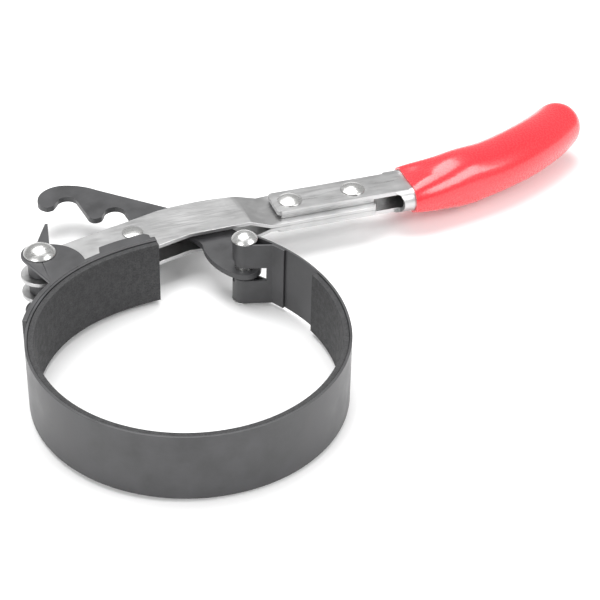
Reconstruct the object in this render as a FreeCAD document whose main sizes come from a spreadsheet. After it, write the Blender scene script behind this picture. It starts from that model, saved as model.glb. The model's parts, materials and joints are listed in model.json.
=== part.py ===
import FreeCAD, Part
import math
import os
import Sketcher

# Adjustable band wrench for heavy-duty oil filters.
# Units are millimetres. The origin is the axis of the clamping ring at mid-height, +Z runs
# along that axis, and every flat plate lies parallel to the XY plane.

SIZES = {
    # clamping ring
    "ring_radius": 60.0,
    "band_width": 28.0,
    "band_thickness": 1.0,
    "liner_thickness": 2.4,
    "liner_inset": 0.5,
    "bond_gap": 0.05,
    "tongue_angle": 101.0,
    "tongue_start": 126.0,
    "tongue_radius": 90.0,
    "flank_radius": 75.0,
    "liner_end_angle": 29.0,
    "return_end_angle": 43.8,
    "knuckle_angle": 57.6,
    "knuckle_radius": 4.8,
    "window_height": 10.0,
    "front_window_height": 6.0,
    "window_reach": 8.7,
    # pivot bracket
    "bracket_thickness": 2.0,
    "ear_thickness": 1.6,
    "ear_radius": 7.3,
    "ear_foot_far": 7.0,
    "ear_foot_near": 10.9,
    "bracket_end_angle": 172.0,
    "flange_start_angle": 102.5,
    "flange_end_angle": 124.0,
    "flange_width": 3.5,
    "spur_length": 13.5,
    # pivots
    "pivot_stand_off": 17.58,
    "pivot_bearing": 137.61,
    "pivot_pin_radius": 3.0,
    "pivot_head_radius": 6.4,
    "pivot_head_height": 3.6,
    "hook_head_radius": 5.25,
    "hook_head_height": 3.2,
    "tail_height": 1.4,
    "rivet_rim": 0.3,
    "spacer_radius": 5.0,
    "running_gap": 0.05,
    "end_play": 0.1,
    # head plates and catch
    "plate_thickness": 1.6,
    "plate_gap": 6.4,
    "plate_end_radius": 8.0,
    "catch_reach": 44.26,
    "catch_bearing": 37.1,
    "catch_pin_radius": 2.5,
    "catch_roller_radius": 4.1,
    "catch_head_radius": 4.3,
    "catch_head_height": 0.8,
    # hook plate
    "hook_thickness": 2.4,
    "hook_eye_radius": 6.8,
    "notch_radius": 4.4,
    # handle
    "handle_angle": 15.8,
    "handle_reach": 111.37,
    "handle_bearing": 25.76,
    "handle_front": -7.5,
    "rivet_pitch": 28.1,
    "joggle_start": -20.5,
    "joggle_length": 9.0,
    "tang_half_width": 11.1,
    "tang_end": 34.5,
    "filler_overhang": 0.6,
    "tongue_overhang": 0.5,
    "slot_end": 47.5,
    "slot_round": 4.0,
    "tube_width": 24.0,
    "tube_wall": 1.8,
    "tube_radius": 9.5,
    "round_limit": 1.0,
    "bend_start": 55.0,
    "bend_radius": 135.0,
    "bend_angle": 37.5,
    "handle_rivet_radius": 2.6,
    "handle_rivet_head_radius": 5.2,
    "handle_rivet_head_height": 1.9,
    # grip
    "grip_start": 52.5,
    "grip_wall": 2.5,
    "grip_lip": 1.2,
}

doc = FreeCAD.newDocument("filter_wrench")
sheet = doc.addObject("Spreadsheet::Sheet", "sizes")
for row, (alias, value) in enumerate(SIZES.items(), 1):
    sheet.set("A%d" % row, alias)
    sheet.set("B%d" % row, str(value))
    sheet.setAlias("B%d" % row, alias)
doc.recompute()

parts = {}


def size(name):
    return float(sheet.get(name))


def vec(x, y, z=0.0):
    return FreeCAD.Vector(x, y, z)


def polar(centre, radius, degrees):
    angle = math.radians(degrees)
    return vec(centre.x + radius * math.cos(angle), centre.y + radius * math.sin(angle))


# ---- places that several pieces share ----

RING = vec(0, 0)
HALF_WIDTH = size("band_width") / 2
FLANK = vec(size("ring_radius") - size("flank_radius"), 0)
KNUCKLE = polar(FLANK, size("flank_radius") - size("knuckle_radius"), size("knuckle_angle"))
PIVOT = polar(RING, size("ring_radius") + size("pivot_stand_off"), size("pivot_bearing"))
CATCH = polar(PIVOT, size("catch_reach"), size("catch_bearing"))
HANDLE = polar(PIVOT, size("handle_reach"), size("handle_bearing"))
TONGUE = polar(RING, size("ring_radius") - size("tongue_radius"), size("tongue_start"))
HOOK_PIN_RADIUS = size("knuckle_radius") - size("band_thickness") - size("running_gap")
PLATE_OUTER = size("plate_gap") / 2 + size("plate_thickness")
TUBE_HEIGHT = size("plate_gap") + 2 * size("tube_wall")
TUBE_FLAT = (size("tube_width") - TUBE_HEIGHT) / 2


def tongue_angle_at(ring_angle):
    """Angle at the tongue's own centre for a place given as an angle round the ring."""
    arc = (size("tongue_start") - ring_angle) * size("ring_radius")
    return size("tongue_start") - arc / size("tongue_radius")


def along_handle(station, offset=0.0, height=0.0):
    """A point on the straight part of the handle, measured from the front rivet."""
    angle = math.radians(size("handle_angle"))
    x = HANDLE.x + station * math.cos(angle) - offset * math.sin(angle)
    y = HANDLE.y + station * math.sin(angle) + offset * math.cos(angle)
    return vec(x, y, height)


# ---- helpers ----

def origin_plane(body, role):
    for feature in body.Origin.OriginFeatures:
        if feature.Role == role:
            return feature
    raise ValueError(role)


def add_sketch(body, name, base):
    """A sketch parallel to the XY plane. base is its height as a number or a sheet expression."""
    sketch = body.newObject("Sketcher::SketchObject", name)
    sketch.AttachmentSupport = [(origin_plane(body, "XY_Plane"), "")]
    sketch.MapMode = "FlatFace"
    sketch.setExpression("AttachmentOffset.Base.z", str(base))
    return sketch


def draw_loop(sketch, corners):
    """Closed outline. Each corner is a point, or (via, point) for an arc that ends at point."""
    first = corners[0]
    start = first
    edges = []
    for corner in corners[1:] + [first]:
        if isinstance(corner, tuple):
            via, end = corner
            arc = Part.Arc(start, via, end)
            edges.append(sketch.addGeometry(arc, False))
        else:
            end = corner
            if end.distanceToPoint(start) > 1e-6:
                edges.append(sketch.addGeometry(Part.LineSegment(start, end), False))
        start = end
    for edge in edges:
        sketch.addConstraint(Sketcher.Constraint("Block", edge))


def draw_circle(sketch, centre, radius):
    """A circle whose radius is a sheet expression."""
    circle = Part.Circle(centre, vec(0, 0, 1), 1.0)
    index = sketch.addGeometry(circle, False)
    sketch.addConstraint(Sketcher.Constraint("DistanceX", -1, 1, index, 3, centre.x))
    sketch.addConstraint(Sketcher.Constraint("DistanceY", -1, 1, index, 3, centre.y))
    radius_index = sketch.addConstraint(Sketcher.Constraint("Radius", index, 1.0))
    sketch.setExpression("Constraints[%d]" % radius_index, radius)


def new_body(label):
    body = doc.addObject("PartDesign::Body", label)
    body.Label = label
    parts[label] = body
    return body


def add_pad(body, name, base, length, draw):
    """Pad upwards from height base. draw(sketch) fills the sketch."""
    sketch = add_sketch(body, name + "_sketch", base)
    draw(sketch)
    pad = body.newObject("PartDesign::Pad", name)
    pad.Profile = sketch
    pad.setExpression("Length", length)
    body.Tip = pad
    doc.recompute()
    return pad


def add_pocket(body, name, base, length, draw):
    """Pocket cut upwards from height base."""
    before = body.Shape.Volume
    sketch = add_sketch(body, name + "_sketch", base)
    draw(sketch)
    pocket = body.newObject("PartDesign::Pocket", name)
    pocket.Profile = sketch
    pocket.Reversed = True
    pocket.setExpression("Length", length)
    body.Tip = pocket
    doc.recompute()
    if body.Shape.Volume >= before - 1e-6:
        raise ValueError(name + " removes nothing")
    return pocket


def add_holes(body, name, base, length, holes):
    """holes is a list of (centre, radius expression)."""
    def draw(sketch):
        for centre, radius in holes:
            draw_circle(sketch, centre, radius)
    return add_pocket(body, name, base, length, draw)


def arc_corner(centre, radius, start, end):
    """(via, end) pair for an arc about centre."""
    return (polar(centre, radius, (start + end) / 2), polar(centre, radius, end))


# ---- clamping ring ----

def strip_outline(outer_offset, thickness, flank_end):
    """Outline of a strip that follows the ring from the tongue to flank_end degrees."""
    tip = tongue_angle_at(size("tongue_angle"))
    start = size("tongue_start")
    outer = outer_offset
    inner = outer_offset + thickness
    ring = size("ring_radius")
    flank = size("flank_radius")
    tongue = size("tongue_radius")
    return [
        polar(TONGUE, tongue - outer, tip),
        arc_corner(TONGUE, tongue - outer, tip, start),
        arc_corner(RING, ring - outer, start, 360.0),
        arc_corner(FLANK, flank - outer, 0.0, flank_end),
        polar(FLANK, flank - inner, flank_end),
        arc_corner(FLANK, flank - inner, flank_end, 0.0),
        arc_corner(RING, ring - inner, 360.0, start),
        arc_corner(TONGUE, tongue - inner, start, tip),
    ]


def band_outline():
    """The band runs round the ring, loops round the hook rivet and returns inside itself."""
    wall = size("band_thickness")
    ring = size("ring_radius")
    flank = size("flank_radius")
    tongue = size("tongue_radius")
    knuckle = size("knuckle_radius")
    tip = tongue_angle_at(size("tongue_angle"))
    start = size("tongue_start")
    turn = size("knuckle_angle")
    finish = size("return_end_angle")
    near = flank - 2 * wall - size("bond_gap")
    far = near + wall
    front = KNUCKLE.y - knuckle
    near_bend = vec(FLANK.x + math.sqrt(near ** 2 - front ** 2), front)
    back = front + wall
    far_bend = vec(FLANK.x + math.sqrt(far ** 2 - back ** 2), back)
    near_angle = math.degrees(math.atan2(near_bend.y, near_bend.x - FLANK.x))
    far_angle = math.degrees(math.atan2(far_bend.y, far_bend.x - FLANK.x))
    return [
        polar(TONGUE, tongue, tip),
        arc_corner(TONGUE, tongue, tip, start),
        arc_corner(RING, ring, start, 360.0),
        arc_corner(FLANK, flank, 0.0, turn),
        arc_corner(KNUCKLE, knuckle, turn, 270.0),
        near_bend,
        arc_corner(FLANK, near, near_angle, finish),
        polar(FLANK, far, finish),
        arc_corner(FLANK, far, finish, far_angle),
        vec(KNUCKLE.x, back),
        arc_corner(KNUCKLE, knuckle - wall, 270.0, turn),
        arc_corner(FLANK, flank - wall, turn, 0.0),
        arc_corner(RING, ring - wall, 360.0, start),
        arc_corner(TONGUE, tongue - wall, start, tip),
    ]


def rectangle(low_x, low_y, high_x, high_y):
    return [vec(low_x, low_y), vec(high_x, low_y), vec(high_x, high_y), vec(low_x, high_y)]


def make_band():
    body = new_body("band_strip")
    add_pad(body, "band", "-sizes.band_width / 2", "sizes.band_width",
            lambda sketch: draw_loop(sketch, band_outline()))
    left = KNUCKLE.x - 2 * size("knuckle_radius")
    right = KNUCKLE.x + size("window_reach")
    split = KNUCKLE.y - size("knuckle_radius") / 2
    top = KNUCKLE.y + 2 * size("knuckle_radius")
    bottom = KNUCKLE.y - 2 * size("knuckle_radius")
    add_pocket(body, "hook_window", "-sizes.window_height / 2", "sizes.window_height",
               lambda sketch: draw_loop(sketch, rectangle(left, split, right, top)))
    add_pocket(body, "front_window", "-sizes.front_window_height / 2", "sizes.front_window_height",
               lambda sketch: draw_loop(sketch, rectangle(left, bottom, right, split)))


def make_liner():
    body = new_body("friction_liner")
    outer = size("band_thickness") + size("bond_gap")
    outline = strip_outline(outer, size("liner_thickness"), size("liner_end_angle"))
    add_pad(body, "liner", "-sizes.band_width / 2 + sizes.liner_inset",
            "sizes.band_width - 2 * sizes.liner_inset",
            lambda sketch: draw_loop(sketch, outline))


# ---- pivot bracket ----

def bracket_web():
    inner = -size("bond_gap")
    outer = inner - size("bracket_thickness")
    tip = tongue_angle_at(size("tongue_angle"))
    start = size("tongue_start")
    finish = size("bracket_end_angle")
    ring = size("ring_radius")
    tongue = size("tongue_radius")
    return [
        polar(TONGUE, tongue - outer, tip),
        arc_corner(TONGUE, tongue - outer, tip, start),
        arc_corner(RING, ring - outer, start, finish),
        polar(RING, ring - inner, finish),
        arc_corner(RING, ring - inner, finish, start),
        arc_corner(TONGUE, tongue - inner, start, tip),
    ]


def ear_outline(spur):
    """Ear that carries the pivot rivet. It grows out of the web's edge."""
    ring = size("ring_radius") + size("bond_gap")
    radius = size("ear_radius")
    far_foot = size("pivot_bearing") - size("ear_foot_far")
    near_foot = size("pivot_bearing") + size("ear_foot_near")
    corners = [polar(RING, ring, near_foot), arc_corner(RING, ring, near_foot, far_foot)]
    corners.append((polar(PIVOT, radius + 3.4, 28.0), polar(PIVOT, radius, 62.0)))
    if spur:
        corners.append(vec(PIVOT.x + 2.0, PIVOT.y + radius + size("spur_length")))
        corners.append(vec(PIVOT.x + 1.0, PIVOT.y + radius + size("spur_length")))
        corners.append(polar(PIVOT, radius, 102.0))
        corners.append(arc_corner(PIVOT, radius, 102.0, 215.0))
    else:
        corners.append(arc_corner(PIVOT, radius, 62.0, 215.0))
    return corners


def flange_outline():
    """Narrow stiffening flange between the ear and the tongue's end, with one round corner."""
    inner = size("tongue_radius") + size("bond_gap")
    outer = inner + size("bracket_thickness") + size("flange_width")
    low = tongue_angle_at(size("flange_start_angle"))
    high = tongue_angle_at(size("flange_end_angle"))
    return [
        polar(TONGUE, inner, low),
        polar(TONGUE, outer - 1.5, low),
        polar(TONGUE, outer, low + 1.0),
        arc_corner(TONGUE, outer, low + 1.0, high - 1.6),
        polar(TONGUE, inner, high),
        arc_corner(TONGUE, inner, high, low),
    ]


def make_bracket():
    body = new_body("pivot_bracket")
    add_pad(body, "web", "-sizes.band_width / 2", "sizes.band_width",
            lambda sketch: draw_loop(sketch, bracket_web()))
    levels = {
        "upper": "sizes.band_width / 2 - sizes.ear_thickness",
        "lower": "-sizes.band_width / 2",
    }
    for level, base in levels.items():
        spur = level == "upper"
        add_pad(body, level + "_ear", base, "sizes.ear_thickness",
                lambda sketch: draw_loop(sketch, ear_outline(spur)))
        add_pad(body, level + "_flange", base, "sizes.ear_thickness",
                lambda sketch: draw_loop(sketch, flange_outline()))
    add_holes(body, "pivot_holes", "-sizes.band_width / 2", "sizes.band_width",
              [(PIVOT, "sizes.pivot_pin_radius + sizes.running_gap")])


# ---- rivets, spacers and catch ----

def cap_radius(rim_radius, rise):
    """Radius of the sphere whose cap has this rim radius and rise."""
    return (rim_radius ** 2 + rise ** 2) / (2 * rise)


def cap_middle(rim_radius, rise):
    """(distance from the axis, height over the rim) halfway along a spherical cap's arc."""
    ball = cap_radius(rim_radius, rise)
    angle = math.asin(rim_radius / ball) / 2
    return ball * math.sin(angle), ball * math.cos(angle) - (ball - rise)


def dome_profile(sketch, pin, head, height, base, tail_base, tail_radius, tail_height):
    """Half section of a rivet with a spherical head and tail, drawn beside the vertical axis."""
    rim = size("rivet_rim")
    head_x, head_z = cap_middle(head, height - rim)
    tail_x, tail_z = cap_middle(tail_radius, tail_height - rim)
    draw_loop(sketch, [
        vec(0.0, base + height),
        (vec(head_x, base + rim + head_z), vec(head, base + rim)),
        vec(head, base),
        vec(pin, base),
        vec(pin, tail_base),
        vec(tail_radius, tail_base),
        vec(tail_radius, tail_base - rim),
        (vec(tail_x, tail_base - rim - tail_z), vec(0.0, tail_base - tail_height)),
    ])


def make_rivet_body(label, places, pin, head, height, base, tail_radius, tail_height):
    """Domed rivets with formed tails: revolved about each place and fused when several."""
    solids = []
    for index, place in enumerate(places):
        name = "%s_%d" % (label, index)
        sketch = doc.addObject("Sketcher::SketchObject", name + "_profile")
        dome_profile(sketch, pin, head, height, base, -base, tail_radius, tail_height)
        sketch.Placement = FreeCAD.Placement(place, FreeCAD.Rotation(vec(1, 0, 0), 90))
        turned = doc.addObject("Part::Revolution", name)
        turned.Source = sketch
        turned.Axis = vec(0, 0, 1)
        turned.Base = place
        turned.Angle = 360.0
        turned.Solid = True
        solids.append(turned)
    doc.recompute()
    if len(solids) == 1:
        solids[0].Label = label
        parts[label] = solids[0]
        return
    group = doc.addObject("Part::Compound", label)
    group.Links = solids
    group.Label = label
    parts[label] = group


def make_sleeve(label, centre, outer, inner, base, length):
    body = new_body(label)

    def draw(sketch):
        draw_circle(sketch, centre, outer)
        draw_circle(sketch, centre, inner)
    add_pad(body, label + "_wall", base, length, draw)


def make_pivots():
    gap = size("running_gap")
    make_rivet_body("pivot_rivet", [PIVOT], size("pivot_pin_radius"), size("pivot_head_radius"),
                    size("pivot_head_height"), HALF_WIDTH + gap,
                    size("pivot_head_radius") * 0.8, size("tail_height"))
    make_rivet_body("hook_rivet", [KNUCKLE], HOOK_PIN_RADIUS, size("hook_head_radius"),
                    size("hook_head_height"), HALF_WIDTH + gap,
                    size("hook_head_radius") * 0.95, size("tail_height"))
    bore = "sizes.pivot_pin_radius + sizes.running_gap"
    plate_top = "(sizes.plate_gap / 2 + sizes.plate_thickness + sizes.end_play)"
    ear_under = "(sizes.band_width / 2 - sizes.ear_thickness - sizes.end_play)"
    make_sleeve("upper_spacer", PIVOT, "sizes.spacer_radius", bore, plate_top,
                ear_under + " - " + plate_top)
    make_sleeve("lower_spacer", PIVOT, "sizes.spacer_radius", bore, "-" + ear_under,
                ear_under + " - " + plate_top)
    make_sleeve("middle_spacer", PIVOT, "sizes.spacer_radius", bore,
                "-sizes.plate_gap / 2 + sizes.end_play", "sizes.plate_gap - 2 * sizes.end_play")


def make_catch():
    make_rivet_body("catch_pin", [CATCH], size("catch_pin_radius"), size("catch_head_radius"),
                    size("catch_head_height"), PLATE_OUTER + size("running_gap"),
                    size("catch_head_radius"), size("catch_head_height"))
    make_sleeve("catch_roller", CATCH, "sizes.catch_roller_radius",
                "sizes.catch_pin_radius + sizes.running_gap",
                "-sizes.plate_gap / 2 + sizes.end_play", "sizes.plate_gap - 2 * sizes.end_play")


# ---- hook plate ----

def notch_centres():
    """Two open notches and a third behind the head plates, on one gentle curve."""
    return [CATCH + vec(-27.9, 28.7), CATCH + vec(-7.8, 20.2), CATCH + vec(11.4, 9.8)]


def hook_outline():
    """The notched end is placed from the catch and the eye end from the hook rivet."""
    first, second, third = notch_centres()
    notch = size("notch_radius")
    eye = size("hook_eye_radius")
    return [
        first + vec(-5.7, -2.5),
        (first + vec(-4.7, -0.5), polar(first, notch, 150.0)),
        arc_corner(first, notch, 150.0, 28.0),
        second + vec(-10.8, -2.0),
        (second + vec(-8.0, -4.0), second + vec(-5.1, -2.4)),
        polar(second, notch, 180.0),
        arc_corner(second, notch, 180.0, 12.0),
        third + vec(-10.0, -0.4),
        (third + vec(-7.6, -2.2), third + vec(-5.0, -1.6)),
        polar(third, notch, 180.0),
        arc_corner(third, notch, 180.0, 20.0),
        third + vec(6.6, -4.4),
        (KNUCKLE + vec(-20.0, 20.3), KNUCKLE + vec(-16.4, 15.3)),
        (KNUCKLE + vec(-12.4, 3.5), polar(KNUCKLE, eye, 232.0)),
        (polar(KNUCKLE, eye, 295.0), polar(KNUCKLE, eye, 18.0)),
        (KNUCKLE + vec(0.0, 21.7), KNUCKLE + vec(-14.6, 33.7)),
        CATCH + vec(13.0, 24.0),
        CATCH + vec(-15.7, 38.2),
        (first + vec(5.3, 12.6), first + vec(-0.9, 13.5)),
        (first + vec(-9.9, 9.5), first + vec(-12.3, 2.1)),
        (first + vec(-10.5, -2.1), first + vec(-7.7, -3.4)),
    ]


def make_hook():
    body = new_body("hook_plate")
    add_pad(body, "hook", "-sizes.hook_thickness / 2", "sizes.hook_thickness",
            lambda sketch: draw_loop(sketch, hook_outline()))
    add_holes(body, "hook_eye", "-sizes.hook_thickness", "2 * sizes.hook_thickness",
              [(KNUCKLE, "sizes.knuckle_radius - sizes.band_thickness")])


# ---- head plates ----

def head_outline():
    """Plan of a head plate, from its round end at the pivot to the tang inside the handle."""
    radius = size("plate_end_radius")
    half = size("tang_half_width")
    start = size("joggle_start")
    front = size("handle_front")
    end = size("tang_end")
    return [
        polar(PIVOT, radius, 300.0),
        CATCH + vec(7.0, -11.8),
        CATCH + vec(23.2, -1.8),
        along_handle(start + 1.0, -10.6),
        along_handle(front, -half),
        along_handle(end, -half),
        along_handle(end + 1.5, -half + 3.0),
        along_handle(end + 1.5, half - 3.0),
        along_handle(end, half),
        along_handle(front, half),
        along_handle(start, 10.0),
        (CATCH + vec(25.0, 21.9), CATCH + vec(10.0, 15.9)),
        PIVOT + vec(4.7, 17.5),
        polar(PIVOT, radius, 140.0),
        arc_corner(PIVOT, radius, 140.0, 300.0),
    ]


def side_profile(side):
    """Side view of the joggled sheet, as (station, height) pairs. side is +1 or -1."""
    gap = size("plate_gap") / 2
    wall = size("plate_thickness")
    start = size("joggle_start")
    end = start + size("joggle_length")
    far = size("tang_end") + 10.0
    near = -2.5 * size("ring_radius")
    touch = size("bond_gap") / 2
    pairs = [(near, gap), (start, gap), (end, touch), (far, touch),
             (far, touch + wall), (end, touch + wall), (start, gap + wall), (near, gap + wall)]
    return [(station, side * height) for station, height in pairs]


def make_head_plate(label, side):
    """Plan outline and side profile crossed, then drilled for its pins."""
    plan = doc.addObject("Sketcher::SketchObject", label + "_plan")
    draw_loop(plan, head_outline())
    plan.Placement = FreeCAD.Placement(vec(0, 0, -HALF_WIDTH), FreeCAD.Rotation())
    block = doc.addObject("Part::Extrusion", label + "_block")
    block.Base = plan
    block.DirMode = "Custom"
    block.Dir = vec(0, 0, 1)
    block.Solid = True
    block.setExpression("LengthFwd", "sizes.band_width")
    profile = doc.addObject("Sketcher::SketchObject", label + "_profile")
    draw_loop(profile, [vec(station, height) for station, height in side_profile(side)])
    reach = 2 * size("ring_radius")
    turn = FreeCAD.Rotation(vec(0, 0, 1), size("handle_angle"))
    lay = turn.multiply(FreeCAD.Rotation(vec(1, 0, 0), 90))
    profile.Placement = FreeCAD.Placement(along_handle(0.0, reach), lay)
    sheet_metal = doc.addObject("Part::Extrusion", label + "_sheet")
    sheet_metal.Base = profile
    sheet_metal.DirMode = "Custom"
    sheet_metal.Dir = turn.multVec(vec(0, -1, 0))
    sheet_metal.LengthFwd = 2 * reach
    sheet_metal.Solid = True
    common = doc.addObject("Part::MultiCommon", label + "_blank")
    common.Shapes = [block, sheet_metal]
    drills = [
        (PIVOT, "sizes.pivot_pin_radius + sizes.running_gap"),
        (CATCH, "sizes.catch_pin_radius + sizes.running_gap"),
        (along_handle(0.0), "sizes.handle_rivet_radius + sizes.running_gap"),
        (along_handle(size("rivet_pitch")), "sizes.handle_rivet_radius + sizes.running_gap"),
    ]
    finish_drilled(label, common, drills)


def make_drill(label, index, place, radius):
    drill = doc.addObject("Part::Cylinder", "%s_drill_%d" % (label, index))
    drill.setExpression("Radius", radius)
    drill.setExpression("Height", "sizes.band_width")
    drill.Placement.Base = vec(place.x, place.y, -HALF_WIDTH)
    return drill


def finish_drilled(label, blank, drills):
    tools = [make_drill(label, index, place, radius)
             for index, (place, radius) in enumerate(drills)]
    fused = doc.addObject("Part::MultiFuse", label + "_drills")
    fused.Shapes = tools
    cut = doc.addObject("Part::Cut", label)
    cut.Base = blank
    cut.Tool = fused
    cut.Label = label
    doc.recompute()
    parts[label] = cut


def make_filler(label, base):
    body = new_body(label)
    half = TUBE_FLAT + size("filler_overhang")
    front = size("handle_front") + 1.5
    end = size("tang_end") + 0.5
    corners = [along_handle(front, -half), along_handle(end, -half),
               along_handle(end, half), along_handle(front, half)]
    thickness = "sizes.plate_gap / 2 - sizes.plate_thickness - 3 * sizes.bond_gap"
    add_pad(body, label + "_plate", base, thickness, lambda sketch: draw_loop(sketch, corners))
    add_holes(body, label + "_holes", base, thickness,
              [(along_handle(0.0), "sizes.handle_rivet_radius + sizes.running_gap"),
               (along_handle(size("rivet_pitch")),
                "sizes.handle_rivet_radius + sizes.running_gap")])


# ---- handle tube and grip ----

def bend_place(station):
    """Placement of a cross-section: X across the handle, Y up, at a distance along the axis."""
    angle = size("handle_angle")
    start = size("bend_start")
    if station <= start:
        centre = along_handle(station)
    else:
        radius = size("bend_radius")
        hub = along_handle(start, radius)
        angle = angle + math.degrees((station - start) / radius)
        centre = polar(hub, radius, angle - 90.0)
    turn = FreeCAD.Rotation(vec(0, 0, 1), angle - 90.0)
    return FreeCAD.Placement(centre, turn.multiply(FreeCAD.Rotation(vec(1, 0, 0), 90)))


def tube_stations():
    """(station, width, height) along the tube: flattened in front, round under the grip."""
    round_size = 2 * size("tube_radius")
    width = size("tube_width")
    height = TUBE_HEIGHT
    start = size("bend_start")
    arc = math.radians(size("bend_angle")) * size("bend_radius")
    rows = [
        (size("handle_front"), width, height),
        (size("grip_start") - 2.0, width, height),
        (start + 6.0, width - 1.2, height + 0.35 * (round_size - height)),
        (start + 17.0, round_size + 0.6, round_size - 0.6),
    ]
    for share in (0.4, 0.6, 0.8, 0.985):
        rows.append((start + share * arc, round_size, round_size))
    return rows


def section_wire(station, width, height, grow):
    """Closed section: flats joined by half circles, or four arcs where it is close to round."""
    wide = width / 2 + grow
    tall = height / 2 + grow
    flat = wide - tall
    shoulder = tall
    if flat < size("round_limit"):
        flat = wide * math.cos(math.radians(60.0))
        shoulder = tall * math.sin(math.radians(60.0))
    right = Part.Arc(vec(flat, -shoulder), vec(wide, 0), vec(flat, shoulder))
    left = Part.Arc(vec(-flat, shoulder), vec(-wide, 0), vec(-flat, -shoulder))
    if shoulder < tall:
        top = Part.Arc(vec(flat, shoulder), vec(0, tall), vec(-flat, shoulder))
        bottom = Part.Arc(vec(-flat, -shoulder), vec(0, -tall), vec(flat, -shoulder))
    else:
        top = Part.LineSegment(vec(flat, tall), vec(-flat, tall))
        bottom = Part.LineSegment(vec(-flat, -tall), vec(flat, -tall))
    wire = Part.Wire([edge.toShape() for edge in (right, top, left, bottom)])
    wire.Placement = bend_place(station)
    return wire


def loft(rows, grow):
    return Part.makeLoft([section_wire(*row, grow) for row in rows], True, False)


def straight_and_bent(rows, grow):
    """The straight flattened length is ruled, and the rest is one smooth skin."""
    straight = Part.makeLoft([section_wire(*row, grow) for row in rows[:2]], True, True)
    bent = loft(rows[1:], grow)
    return straight.fuse(bent)


def slot_tool(side):
    """Material taken off one side of the flattened front, with a round end."""
    start = size("handle_front") - 1.0
    radius = size("slot_round")
    half = TUBE_FLAT + size("tongue_overhang")
    depth = size("tube_width")
    length = size("slot_end") - radius - start
    box = Part.makeBox(length, depth, 2 * TUBE_HEIGHT)
    box.translate(vec(start, half, -TUBE_HEIGHT))
    height = TUBE_HEIGHT / 2 + 0.5
    low = vec(0, 0, 0)
    end = size("slot_end")
    neck = end - radius
    lines = [
        Part.makeLine(vec(neck, half, -height), vec(end - 1.2, half, -radius)),
        Part.Arc(vec(end - 1.2, half, -radius), vec(end, half, 0),
                 vec(end - 1.2, half, radius)).toShape(),
        Part.makeLine(vec(end - 1.2, half, radius), vec(neck, half, height)),
        Part.makeLine(vec(neck, half, height), vec(neck, half, -height)),
    ]
    nose = Part.Face(Part.Wire(lines)).extrude(vec(0, depth, 0))
    tool = box.fuse(nose)
    if side < 0:
        tool = tool.mirror(low, vec(0, 1, 0))
    tool.Placement = FreeCAD.Placement(HANDLE, FreeCAD.Rotation(vec(0, 0, 1),
                                                               size("handle_angle")))
    return tool


def set_feature(label, shape):
    feature = doc.addObject("Part::Feature", label)
    feature.Shape = shape
    feature.Label = label
    parts[label] = feature


def make_tube():
    """Round tube, flattened in front, with both side walls cut away round the tang."""
    rows = tube_stations()
    outer = straight_and_bent(rows, 0.0)
    lengthened = [(rows[0][0] - 2.0,) + rows[0][1:]] + rows[1:-1]
    lengthened.append((rows[-1][0] + 1.0,) + rows[-1][1:])
    inner = straight_and_bent(lengthened, -size("tube_wall"))
    shape = outer.cut(inner)
    for side in (1, -1):
        shape = shape.cut(slot_tool(side))
    for station in (0.0, size("rivet_pitch")):
        hole = Part.makeCylinder(size("handle_rivet_radius") + size("running_gap"),
                                 size("band_width"))
        place = along_handle(station)
        hole.translate(vec(place.x, place.y, -HALF_WIDTH))
        shape = shape.cut(hole)
    front = along_handle(size("handle_front"))
    corners = [edge for edge in shape.Edges if is_front_corner(edge, front)]
    shape = shape.makeFillet(2.0, corners)
    set_feature("handle_tube", shape)


def is_front_corner(edge, front):
    """True for the upright edges at the flattened tube's front corners."""
    if len(edge.Vertexes) != 2:
        return False
    low, high = [vertex.Point for vertex in edge.Vertexes]
    upright = math.hypot(low.x - high.x, low.y - high.y) < 1e-3
    middle = vec((low.x + high.x) / 2, (low.y + high.y) / 2)
    distance = middle.distanceToPoint(front)
    return upright and abs(distance - TUBE_FLAT - size("tongue_overhang")) < 0.05


def grip_stations():
    start = size("bend_start")
    arc = math.radians(size("bend_angle")) * size("bend_radius")
    lip = size("grip_lip")
    wall = size("grip_wall")
    round_size = 2 * (size("tube_radius") + wall)
    width = size("tube_width") + 2 * lip
    height = TUBE_HEIGHT + 2 * lip
    rows = [
        (size("grip_start"), width, height),
        (start + 6.0, width - 0.4, height + 0.42 * (round_size - height)),
        (start + 17.0, round_size + 0.6, round_size - 0.6),
    ]
    for share, trim in ((0.4, 0.0), (0.6, 0.2), (0.8, 0.6), (1.0, 1.6)):
        rows.append((start + share * arc, round_size - trim, round_size - trim - 0.1))
    return rows


def make_grip():
    """Dipped vinyl sleeve with a round end. It closes over the end of the tube."""
    rows = grip_stations()
    outer = loft(rows, 0.0)
    end = bend_place(rows[-1][0])
    forward = end.Rotation.multVec(vec(0, 0, -1))
    cap = Part.makeSphere(rows[-1][2] / 2 - size("bond_gap"), end.Base, forward, 0, 90, 360)
    outer = outer.fuse(cap)
    set_feature("grip_sleeve", outer.cut(tube_core()))


def tube_core():
    """The space that the tube takes up inside the grip."""
    return straight_and_bent(tube_stations(), size("bond_gap"))


def make_handle_rivets():
    places = [along_handle(0.0), along_handle(size("rivet_pitch"))]
    base = TUBE_HEIGHT / 2 + size("running_gap")
    make_rivet_body("handle_rivets", places, size("handle_rivet_radius"),
                    size("handle_rivet_head_radius"), size("handle_rivet_head_height"), base,
                    size("handle_rivet_head_radius"), size("handle_rivet_head_height"))


# ---- build and write ----

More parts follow.
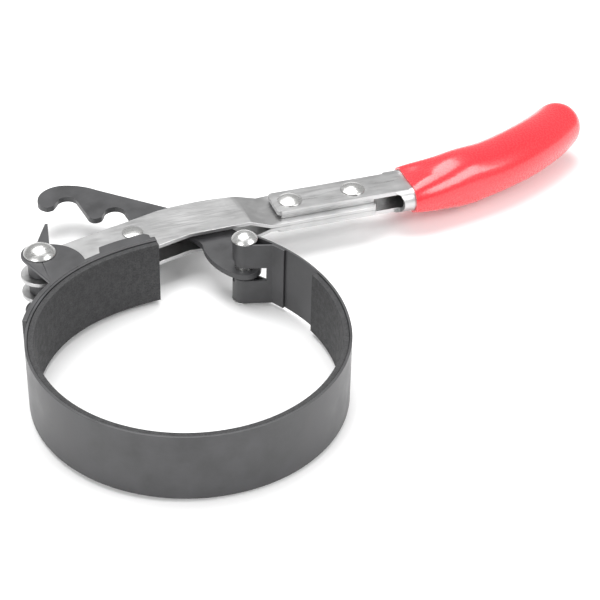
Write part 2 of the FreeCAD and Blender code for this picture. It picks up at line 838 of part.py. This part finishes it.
def check_and_write():
    doc.recompute()
    for item in doc.Objects:
        if "Invalid" in item.State or "Error" in item.State:
            raise ValueError("%s is %s" % (item.Label, item.State))
    os.makedirs("parts", exist_ok=True)
    for label, item in parts.items():
        shape = item.Shape
        if shape.isNull() or not shape.isValid() or not shape.Solids:
            raise ValueError(label + " has no valid solid")
        shape.exportStep(os.path.join("parts", label + ".step"))
        print("%-18s solids %d volume %.1f" % (label, len(shape.Solids), shape.Volume))


def main():
    make_band()
    make_liner()
    make_bracket()
    make_pivots()
    make_catch()
    make_hook()
    make_head_plate("upper_head_plate", 1)
    make_head_plate("lower_head_plate", -1)
    touch = "sizes.plate_thickness + 1.5 * sizes.bond_gap"
    make_filler("upper_filler_plate", touch)
    make_filler("lower_filler_plate", "-sizes.plate_gap / 2 + 1.5 * sizes.bond_gap")
    make_tube()
    make_handle_rivets()
    make_grip()
    check_and_write()


main()
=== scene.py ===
import json
import math
import bpy
from mathutils import Matrix, Vector


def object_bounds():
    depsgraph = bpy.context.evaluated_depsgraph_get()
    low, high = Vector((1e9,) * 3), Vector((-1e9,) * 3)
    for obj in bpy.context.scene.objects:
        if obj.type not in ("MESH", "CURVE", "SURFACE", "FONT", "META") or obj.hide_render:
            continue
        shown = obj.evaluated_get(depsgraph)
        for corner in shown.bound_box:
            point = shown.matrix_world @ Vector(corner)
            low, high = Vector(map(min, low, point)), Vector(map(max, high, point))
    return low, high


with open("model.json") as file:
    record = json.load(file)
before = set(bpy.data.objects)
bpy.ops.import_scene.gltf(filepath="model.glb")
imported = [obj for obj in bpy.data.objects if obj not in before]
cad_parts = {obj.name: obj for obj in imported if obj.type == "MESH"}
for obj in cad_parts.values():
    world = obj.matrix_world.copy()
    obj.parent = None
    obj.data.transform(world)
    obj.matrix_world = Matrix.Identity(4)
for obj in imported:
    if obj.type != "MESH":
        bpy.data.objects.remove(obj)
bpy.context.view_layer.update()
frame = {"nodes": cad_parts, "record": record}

nodes = frame["nodes"]
slots = {part["node"]: part["material_slot"] for part in frame["record"]["subparts"]}
colours = {entry["slot"]: entry["base_color"] for entry in frame["record"]["materials"]}
print("stage: frame loaded")


# ---- node graph helpers ----

def newMaterial(name):
    material = bpy.data.materials.new(name)
    material.use_nodes = True
    graph = material.node_tree
    shader = graph.nodes["Principled BSDF"]
    place = graph.nodes.new("ShaderNodeTexCoord")
    return material, graph, shader, place.outputs["Object"]


def noise(graph, source, scale, detail=4.0, roughness=0.55, distortion=0.0):
    texture = graph.nodes.new("ShaderNodeTexNoise")
    texture.inputs["Scale"].default_value = scale
    texture.inputs["Detail"].default_value = detail
    texture.inputs["Roughness"].default_value = roughness
    texture.inputs["Distortion"].default_value = distortion
    graph.links.new(source, texture.inputs["Vector"])
    return texture.outputs["Fac"]


def stretched(graph, source, stretch, turn):
    mapping = graph.nodes.new("ShaderNodeMapping")
    mapping.vector_type = "TEXTURE"
    mapping.inputs["Rotation"].default_value = (0.0, 0.0, turn)
    mapping.inputs["Scale"].default_value = stretch
    graph.links.new(source, mapping.inputs["Vector"])
    return mapping.outputs["Vector"]


def remap(graph, source, low, high, fromLow=0.3, fromHigh=0.7):
    node = graph.nodes.new("ShaderNodeMapRange")
    node.inputs["From Min"].default_value = fromLow
    node.inputs["From Max"].default_value = fromHigh
    node.inputs["To Min"].default_value = low
    node.inputs["To Max"].default_value = high
    graph.links.new(source, node.inputs["Value"])
    return node.outputs["Result"]


def mixColour(graph, factor, dark, light):
    node = graph.nodes.new("ShaderNodeMix")
    node.data_type = "RGBA"
    node.inputs["A"].default_value = (*dark, 1.0)
    node.inputs["B"].default_value = (*light, 1.0)
    graph.links.new(factor, node.inputs["Factor"])
    return node.outputs["Result"]


def bump(graph, shader, height, distance, strength, below=None):
    node = graph.nodes.new("ShaderNodeBump")
    node.inputs["Distance"].default_value = distance
    node.inputs["Strength"].default_value = strength
    graph.links.new(height, node.inputs["Height"])
    if below:
        graph.links.new(below, node.inputs["Normal"])
    graph.links.new(node.outputs["Normal"], shader.inputs["Normal"])
    return node.outputs["Normal"]


def shade(colour, factor):
    return [channel * factor for channel in colour]


# ---- materials, one for each finish ----

steelGrain = {
    "direction": math.radians(15.8),
    "stretch": (9.0, 0.7, 0.7),
    "grainScale": 900.0,
    "grainHeight": 0.00004,
    "cloudScale": 55.0,
}


def makeSteel(name, colour, roughness):
    """Ground sheet steel: fine lines along the part, faint clouds and fine pits."""
    material, graph, shader, place = newMaterial(name)
    lines = stretched(graph, place, steelGrain["stretch"], steelGrain["direction"])
    grain = noise(graph, lines, steelGrain["grainScale"], 3.0)
    clouds = noise(graph, place, steelGrain["cloudScale"], 5.0)
    tone = mixColour(graph, remap(graph, clouds, 0.0, 1.0), shade(colour, 0.82), shade(colour, 1.12))
    graph.links.new(tone, shader.inputs["Base Color"])
    graph.links.new(remap(graph, grain, roughness - 0.06, roughness + 0.1), shader.inputs["Roughness"])
    shader.inputs["Metallic"].default_value = 1.0
    pits = noise(graph, place, 2600.0, 2.0)
    low = bump(graph, shader, pits, 0.00002, 0.35)
    bump(graph, shader, grain, steelGrain["grainHeight"], 0.5, low)
    return material


blackFinish = {"roughness": 0.42, "coat": 0.12, "peelScale": 700.0, "peelHeight": 0.00003}


def makeBlack(name, colour):
    """Black finished steel: satin, with a faint peel and slightly worn clouds."""
    material, graph, shader, place = newMaterial(name)
    clouds = noise(graph, place, 90.0, 5.0)
    peel = noise(graph, place, blackFinish["peelScale"], 3.0)
    tone = mixColour(graph, remap(graph, clouds, 0.0, 1.0), shade(colour, 0.7), shade(colour, 1.35))
    graph.links.new(tone, shader.inputs["Base Color"])
    rough = blackFinish["roughness"]
    graph.links.new(remap(graph, clouds, rough - 0.07, rough + 0.1), shader.inputs["Roughness"])
    shader.inputs["Metallic"].default_value = 0.0
    shader.inputs["Coat Weight"].default_value = blackFinish["coat"]
    shader.inputs["Coat Roughness"].default_value = 0.3
    bump(graph, shader, peel, blackFinish["peelHeight"], 0.5)
    return material


linerFinish = {"tooth": 1500.0, "toothHeight": 0.00018, "roughness": 0.78}


def makeLiner(name, colour):
    """Gritty friction lining with a fine tooth."""
    material, graph, shader, place = newMaterial(name)
    tooth = noise(graph, place, linerFinish["tooth"], 5.0, 0.7)
    grit = noise(graph, place, 420.0, 4.0)
    tone = mixColour(graph, remap(graph, tooth, 0.0, 1.0), shade(colour, 0.5), shade(colour, 1.9))
    graph.links.new(tone, shader.inputs["Base Color"])
    graph.links.new(remap(graph, grit, 0.66, linerFinish["roughness"] + 0.12), shader.inputs["Roughness"])
    low = bump(graph, shader, grit, 0.0001, 0.3)
    bump(graph, shader, tooth, linerFinish["toothHeight"], 0.7, low)
    return material


vinylFinish = {"roughness": 0.26, "coat": 0.55, "waveScale": 45.0, "waveHeight": 0.0004}


def makeVinyl(name, colour):
    """Dipped vinyl: glossy, with slow waves left by the dip and a little depth under the skin."""
    material, graph, shader, place = newMaterial(name)
    waves = noise(graph, place, vinylFinish["waveScale"], 2.0)
    skin = noise(graph, place, 1100.0, 3.0)
    tone = mixColour(graph, remap(graph, waves, 0.0, 1.0), shade(colour, 0.9), shade(colour, 1.08))
    graph.links.new(tone, shader.inputs["Base Color"])
    rough = vinylFinish["roughness"]
    graph.links.new(remap(graph, skin, rough - 0.04, rough + 0.06), shader.inputs["Roughness"])
    shader.inputs["Coat Weight"].default_value = vinylFinish["coat"]
    shader.inputs["Coat Roughness"].default_value = 0.16
    shader.inputs["Subsurface Weight"].default_value = 0.06
    shader.inputs["Subsurface Radius"].default_value = (0.002, 0.0006, 0.0004)
    low = bump(graph, shader, skin, 0.000012, 0.4)
    bump(graph, shader, waves, vinylFinish["waveHeight"], 0.25, low)
    return material


finishes = {
    "black_steel": makeBlack("black steel", colours["black_steel"]),
    "spacer_black": makeBlack("black spacer", colours["spacer_black"]),
    "liner": makeLiner("friction liner", colours["liner"]),
    "plate_steel": makeSteel("plate steel", colours["plate_steel"], 0.36),
    "tube_steel": makeSteel("tube steel", colours["tube_steel"], 0.33),
    "rivet_steel": makeSteel("rivet steel", colours["rivet_steel"], 0.27),
    "red_vinyl": makeVinyl("red vinyl", colours["red_vinyl"]),
}
print("stage: materials made")


# ---- edges ----

# Width in metres of the eased edge on each node. Rivets keep their turned rims.
edgeWidths = {
    "band_strip": 0.00018,
    "friction_liner": 0.0003,
    "pivot_bracket": 0.00035,
    "hook_plate": 0.0003,
    "upper_head_plate": 0.0002,
    "lower_head_plate": 0.0002,
    "upper_filler_plate": 0.00012,
    "lower_filler_plate": 0.00012,
    "handle_tube": 0.0002,
    "grip_sleeve": 0.0004,
    "pivot_rivet": 0.00012,
    "hook_rivet": 0.00012,
    "catch_pin": 0.00012,
    "handle_rivets": 0.00012,
    "upper_spacer": 0.0002,
    "middle_spacer": 0.0002,
    "lower_spacer": 0.0002,
    "catch_roller": 0.0002,
}


def easeEdges(node, width):
    weld = node.modifiers.new("weld", "WELD")
    weld.merge_threshold = 0.000002
    bevel = node.modifiers.new("eased edges", "BEVEL")
    bevel.width = width
    bevel.segments = 3
    bevel.limit_method = "ANGLE"
    bevel.angle_limit = math.radians(38)
    bevel.use_clamp_overlap = True
    normals = node.modifiers.new("normals", "WEIGHTED_NORMAL")
    normals.keep_sharp = True


for name, node in nodes.items():
    node.data.materials.clear()
    node.data.materials.append(finishes[slots[name]])
    bpy.ops.object.select_all(action="DESELECT")
    node.select_set(True)
    bpy.context.view_layer.objects.active = node
    bpy.ops.object.shade_smooth_by_angle(angle=math.radians(32))
    easeEdges(node, edgeWidths[name])
print("stage: nodes finished")


# ---- floor, lights and camera ----

floorSize = 6.0


def makeFloor():
    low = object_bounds()[0]
    bpy.ops.mesh.primitive_plane_add(size=floorSize, location=(0.0, 0.0, low[2] - 0.0002))
    floor = bpy.context.object
    floor.name = "floor"
    material, graph, shader, place = newMaterial("pale floor")
    mottle = noise(graph, place, 6.0, 3.0)
    tone = mixColour(graph, mottle, (0.86, 0.86, 0.86), (0.9, 0.9, 0.9))
    graph.links.new(tone, shader.inputs["Base Color"])
    shader.inputs["Roughness"].default_value = 0.75
    floor.data.materials.append(material)


# Each light: place and target in metres, size in metres, power in watts.
lights = {
    "overhead": {"place": (-0.1, 0.35, 1.1), "target": (0.05, 0.05, 0.0), "size": 0.9, "power": 16.0},
    "front": {"place": (-0.7, -0.9, 0.6), "target": (0.0, 0.0, 0.0), "size": 0.7, "power": 9.0},
    "side": {"place": (0.9, -0.4, 0.7), "target": (0.08, 0.08, 0.0), "size": 0.6, "power": 8.0},
}


def aimed(place, target):
    return (Vector(target) - Vector(place)).to_track_quat("-Z", "Y").to_matrix().to_4x4()


def makeLight(name, light):
    data = bpy.data.lights.new(name, "AREA")
    data.size = light["size"]
    data.energy = light["power"]
    lamp = bpy.data.objects.new(name, data)
    lamp.matrix_world = Matrix.Translation(light["place"]) @ aimed(light["place"], light["target"])
    bpy.context.scene.collection.objects.link(lamp)


camera = {
    "place": (0.0, -0.5179, 0.4066),
    "target": (0.0434, 0.0369, 0.0),
    "roll": math.radians(1.39),
    "lens": 106.1,
}


def makeCamera():
    data = bpy.data.cameras.new("camera")
    data.sensor_width = 36.0
    data.lens = camera["lens"]
    data.clip_end = 20.0
    view = bpy.data.objects.new("camera", data)
    turned = aimed(camera["place"], camera["target"]) @ Matrix.Rotation(camera["roll"], 4, "Z")
    view.matrix_world = Matrix.Translation(camera["place"]) @ turned
    bpy.context.scene.collection.objects.link(view)
    bpy.context.scene.camera = view


def makeWorld():
    world = bpy.data.worlds.new("studio")
    world.use_nodes = True
    world.node_tree.nodes["Background"].inputs["Color"].default_value = (1.0, 1.0, 1.0, 1.0)
    world.node_tree.nodes["Background"].inputs["Strength"].default_value = 0.55
    bpy.context.scene.world = world


makeFloor()
for lightName, lightFacts in lights.items():
    makeLight(lightName, lightFacts)
makeCamera()
makeWorld()
bpy.context.scene.view_settings.view_transform = "Standard"
print("stage: floor, lights and camera made")
